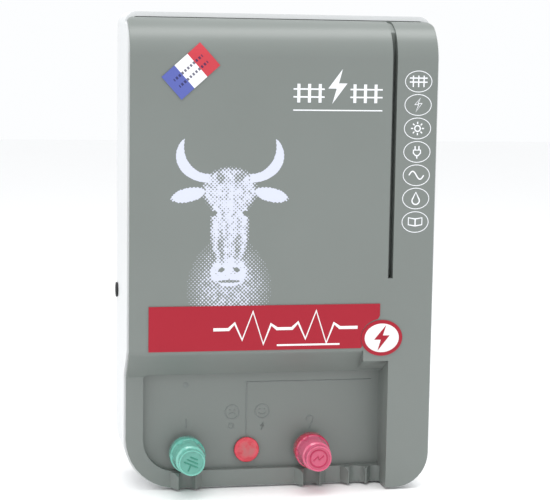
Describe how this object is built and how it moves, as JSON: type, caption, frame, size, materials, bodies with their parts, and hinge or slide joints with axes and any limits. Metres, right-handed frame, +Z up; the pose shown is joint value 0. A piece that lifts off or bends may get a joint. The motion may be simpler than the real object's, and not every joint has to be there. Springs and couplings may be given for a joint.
{
  "type": "fence energizer",
  "caption": "Wall-hung mains electric fence energizer: flat case with a recessed terminal bay, earth and fence knobs, a control lamp, and the electronics inside.",
  "frame": {"origin": "middle of the flat back face, in the plane of the wall", "axes": "+X to the right seen from the front, +Z up, and the front faces -Y, so +Y points into the wall"},
  "size_m": [0.2047, 0.0831, 0.314],
  "materials": {
    "cover_grey": "fine satin moulded",
    "shell_white": "fine satin moulded",
    "rubber_black": "matte",
    "steel": "zinc plated",
    "brass": "turned",
    "knob_green": "semi-gloss",
    "knob_red": "semi-gloss, slightly translucent",
    "lens_red": "translucent, gloss",
    "label_red": "printed film",
    "label_white": "printed film",
    "board_green": "solder mask",
    "dark_plastic": "moulded",
    "copper": "enamelled winding",
    "laminate": "varnished laminations",
    "nylon": "natural nylon",
    "glass": "clear",
    "ceramic": "unglazed ceramic",
    "aluminium": "extruded",
    "can_blue": "sleeved can",
    "film_ochre": "dipped film capacitor",
    "wire_green": "silicone insulation",
    "wire_red": "silicone insulation",
    "wire_pale": "insulation"
  },
  "bodies": {
    "case": {"front_cover": "cover_grey", "rear_housing": "shell_white", "case_seal": "rubber_black", "mains_gland": "rubber_black", "gland_nut": "dark_plastic", "lamp_lens": "lens_red", "lamp_ring": "dark_plastic", "control_lamp": "glass", "brand_band": "label_red", "roundel_label": "label_white", "origin_sticker": "label_white", "circuit_board": "board_green", "storage_capacitor": "can_blue", "capacitor_strap": "steel", "heat_sink": "aluminium", "thyristor": "dark_plastic", "fuse_holder": "nylon", "fuse": "glass", "terminal_block": "dark_plastic", "charging_capacitor_1": "film_ochre", "charging_capacitor_2": "film_ochre", "dropper_resistor": "ceramic", "control_chip": "dark_plastic", "transformer_core": "laminate", "transformer_bobbin": "nylon", "transformer_coil": "copper", "earth_lead": "wire_green", "fence_lead": "wire_red", "primary_lead": "wire_pale", "lamp_lead": "wire_pale", "case_screw_1": "steel", "case_screw_2": "steel", "case_screw_3": "steel", "case_screw_4": "steel", "case_screw_5": "steel", "case_screw_6": "steel", "board_screw_1": "steel", "transformer_screw_1": "steel", "board_screw_2": "steel", "transformer_screw_2": "steel", "board_screw_3": "steel", "transformer_screw_3": "steel", "board_screw_4": "steel", "transformer_screw_4": "steel", "earth_seat_nut": "steel", "earth_stud": "steel", "earth_inner_nut": "steel", "earth_ring_terminal": "steel", "fence_seat_nut": "steel", "fence_stud": "steel", "fence_inner_nut": "steel", "fence_ring_terminal": "steel"},
    "earth_washer": {"earth_clamp_washer": "steel"},
    "earth_knob": {"earth_knob": "knob_green", "earth_knob_insert": "brass"},
    "fence_washer": {"fence_clamp_washer": "steel"},
    "fence_knob": {"fence_knob": "knob_red", "fence_knob_insert": "brass"}
  },
  "joints": [
    {"name": "earth_washer_slide", "type": "slide", "parent": "case", "child": "earth_washer", "axis": [0, -1, 0], "range_m": [0, 0.0045]},
    {"name": "earth_knob_turn", "type": "hinge", "parent": "earth_washer", "child": "earth_knob", "pos_m": [-0.0604, -0.0555, -0.132], "axis": [0, -1, 0], "range_deg": [0, 1621]},
    {"name": "fence_washer_slide", "type": "slide", "parent": "case", "child": "fence_washer", "axis": [0, -1, 0], "range_m": [0, 0.0045]},
    {"name": "fence_knob_turn", "type": "hinge", "parent": "fence_washer", "child": "fence_knob", "pos_m": [0.0236, -0.0555, -0.132], "axis": [0, -1, 0], "range_deg": [0, 1621]}
  ],
  "couplings": [
    {"joint": "earth_knob_turn", "follows": "earth_washer_slide", "rad_per_m": 6283.2},
    {"joint": "fence_knob_turn", "follows": "fence_washer_slide", "rad_per_m": 6283.2}
  ]
}
